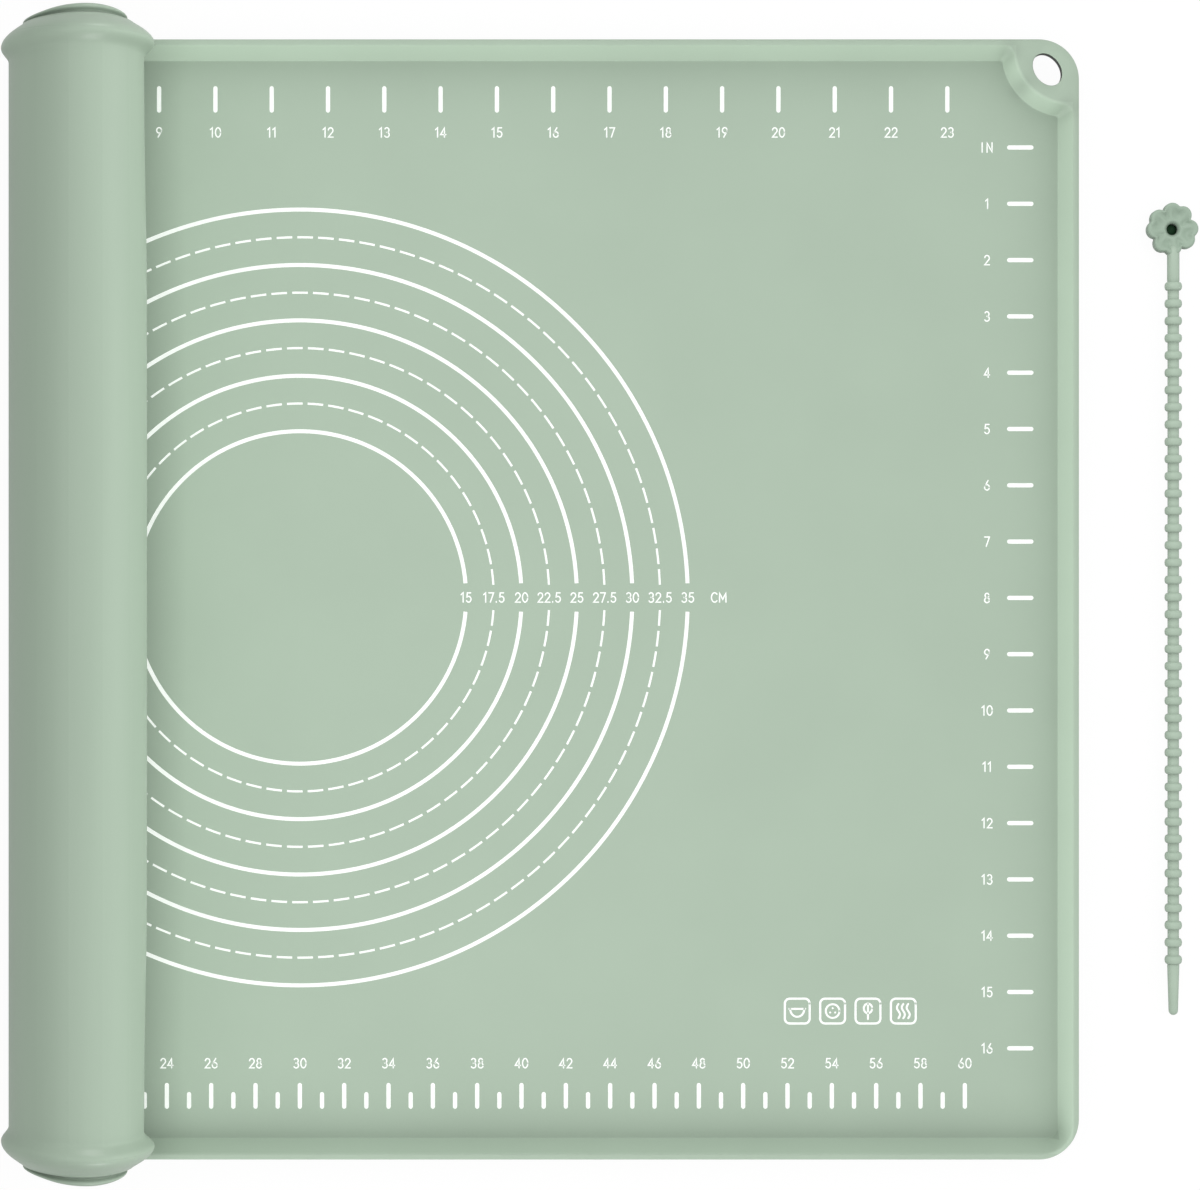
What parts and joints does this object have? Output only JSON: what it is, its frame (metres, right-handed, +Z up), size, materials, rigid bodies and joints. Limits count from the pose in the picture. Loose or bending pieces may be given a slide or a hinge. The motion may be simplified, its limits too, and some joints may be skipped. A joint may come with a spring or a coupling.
{
  "type": "silicone baking mat",
  "caption": "Rectangular silicone baking mat with a raised rim and a corner hanging hole, part rolled up, with its beaded silicone tie beside it.",
  "frame": {"origin": "centre of the printed circles, which is the centre of the mat when it is laid out flat, on the table under the mat", "axes": "+X along the mat away from the roll, +Y across the mat towards the corner with the hanging hole, +Z up"},
  "size_m": [0.5317, 0.502, 0.0681],
  "materials": {
    "mat_silicone": "matte",
    "tie_silicone": "satin"
  },
  "bodies": {
    "flat_mat": {"flat_mat": "mat_silicone"},
    "roll_strip_01": {"roll_strip_01": "mat_silicone"},
    "roll_strip_02": {"roll_strip_02": "mat_silicone"},
    "roll_strip_03": {"roll_strip_03": "mat_silicone"},
    "roll_strip_04": {"roll_strip_04": "mat_silicone"},
    "roll_strip_05": {"roll_strip_05": "mat_silicone"},
    "roll_strip_06": {"roll_strip_06": "mat_silicone"},
    "roll_strip_07": {"roll_strip_07": "mat_silicone"},
    "roll_strip_08": {"roll_strip_08": "mat_silicone"},
    "roll_strip_09": {"roll_strip_09": "mat_silicone"},
    "roll_strip_10": {"roll_strip_10": "mat_silicone"},
    "roll_strip_11": {"roll_strip_11": "mat_silicone"},
    "roll_strip_12": {"roll_strip_12": "mat_silicone"},
    "roll_strip_13": {"roll_strip_13": "mat_silicone"},
    "roll_strip_14": {"roll_strip_14": "mat_silicone"},
    "roll_end": {"roll_end": "mat_silicone"},
    "tie": {"tie": "tie_silicone"}
  },
  "joints": [
    {"name": "unroll", "type": "hinge", "parent": "flat_mat", "child": "roll_strip_01", "pos_m": [-0.0927, 0, 0], "axis": [0, -1, 0], "range_deg": [0, 14]},
    {"name": "uncurl_02", "type": "hinge", "parent": "roll_strip_01", "child": "roll_strip_02", "pos_m": [-0.10899, 0, 0.00406], "axis": [0, -1, 0], "range_deg": [0, 28]},
    {"name": "uncurl_03", "type": "hinge", "parent": "roll_strip_02", "child": "roll_strip_03", "pos_m": [-0.12138, 0, 0.01522], "axis": [0, -1, 0], "range_deg": [0, 28]},
    {"name": "uncurl_04", "type": "hinge", "parent": "roll_strip_03", "child": "roll_strip_04", "pos_m": [-0.12705, 0, 0.03079], "axis": [0, -1, 0], "range_deg": [0, 28]},
    {"name": "uncurl_05", "type": "hinge", "parent": "roll_strip_04", "child": "roll_strip_05", "pos_m": [-0.12476, 0, 0.04708], "axis": [0, -1, 0], "range_deg": [0, 28]},
    {"name": "uncurl_06", "type": "hinge", "parent": "roll_strip_05", "child": "roll_strip_06", "pos_m": [-0.11516, 0, 0.06029], "axis": [0, -1, 0], "range_deg": [0, 28]},
    {"name": "uncurl_07", "type": "hinge", "parent": "roll_strip_06", "child": "roll_strip_07", "pos_m": [-0.10057, 0, 0.06741], "axis": [0, -1, 0], "range_deg": [0, 28]},
    {"name": "uncurl_08", "type": "hinge", "parent": "roll_strip_07", "child": "roll_strip_08", "pos_m": [-0.08447, 0, 0.06684], "axis": [0, -1, 0], "range_deg": [0, 28]},
    {"name": "uncurl_09", "type": "hinge", "parent": "roll_strip_08", "child": "roll_strip_09", "pos_m": [-0.07062, 0, 0.05884], "axis": [0, -1, 0], "range_deg": [0, 28]},
    {"name": "uncurl_10", "type": "hinge", "parent": "roll_strip_09", "child": "roll_strip_10", "pos_m": [-0.0622, 0, 0.04537], "axis": [0, -1, 0], "range_deg": [0, 28]},
    {"name": "uncurl_11", "type": "hinge", "parent": "roll_strip_10", "child": "roll_strip_11", "pos_m": [-0.0611, 0, 0.02964], "axis": [0, -1, 0], "range_deg": [0, 28]},
    {"name": "uncurl_12", "type": "hinge", "parent": "roll_strip_11", "child": "roll_strip_12", "pos_m": [-0.06747, 0, 0.01533], "axis": [0, -1, 0], "range_deg": [0, 28]},
    {"name": "uncurl_13", "type": "hinge", "parent": "roll_strip_12", "child": "roll_strip_13", "pos_m": [-0.07972, 0, 0.00576], "axis": [0, -1, 0], "range_deg": [0, 28]},
    {"name": "uncurl_14", "type": "hinge", "parent": "roll_strip_13", "child": "roll_strip_14", "pos_m": [-0.09492, 0, 0.00308], "axis": [0, -1, 0], "range_deg": [0, 28]},
    {"name": "uncurl_end", "type": "hinge", "parent": "roll_strip_14", "child": "roll_end", "pos_m": [-0.10949, 0, 0.00781], "axis": [0, -1, 0], "range_deg": [0, 42.78]},
    {"name": "tie_lift", "type": "slide", "parent": "flat_mat", "child": "tie", "axis": [0, 0, 1], "range_m": [0, 0.15]}
  ],
  "couplings": [
    {"joint": "uncurl_02", "follows": "unroll", "ratio": 2},
    {"joint": "uncurl_03", "follows": "unroll", "ratio": 2},
    {"joint": "uncurl_04", "follows": "unroll", "ratio": 2},
    {"joint": "uncurl_05", "follows": "unroll", "ratio": 2},
    {"joint": "uncurl_06", "follows": "unroll", "ratio": 2},
    {"joint": "uncurl_07", "follows": "unroll", "ratio": 2},
    {"joint": "uncurl_08", "follows": "unroll", "ratio": 2},
    {"joint": "uncurl_09", "follows": "unroll", "ratio": 2},
    {"joint": "uncurl_10", "follows": "unroll", "ratio": 2},
    {"joint": "uncurl_11", "follows": "unroll", "ratio": 2},
    {"joint": "uncurl_12", "follows": "unroll", "ratio": 2},
    {"joint": "uncurl_13", "follows": "unroll", "ratio": 2},
    {"joint": "uncurl_14", "follows": "unroll", "ratio": 2},
    {"joint": "uncurl_end", "follows": "unroll", "ratio": 3.0559}
  ]
}
